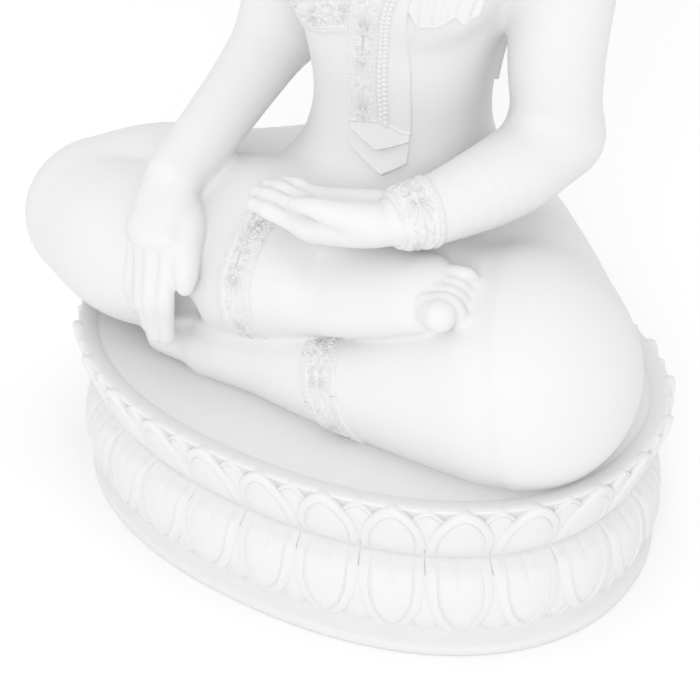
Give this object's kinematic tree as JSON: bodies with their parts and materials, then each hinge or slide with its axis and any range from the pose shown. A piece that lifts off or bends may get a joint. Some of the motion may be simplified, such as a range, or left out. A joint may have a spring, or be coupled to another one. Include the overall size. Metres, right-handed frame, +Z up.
{
  "type": "seated buddha figurine",
  "caption": "Seated buddha figurine in the earth-touching gesture on an oval lotus base, cast in one piece in matt white resin, for standing on a shelf or table",
  "frame": {"origin": "middle of the flat oval underside of the base; the right knee overhangs the base, so the box reaches farther to -X", "axes": "+Z up; the figure faces -Y; +X is its left-hand side"},
  "size_m": [0.3708, 0.2502, 0.5182],
  "materials": {
    "resin": "matt white cast resin"
  },
  "bodies": {
    "root": {"seated_figurine": "resin"}
  },
  "joints": []
}
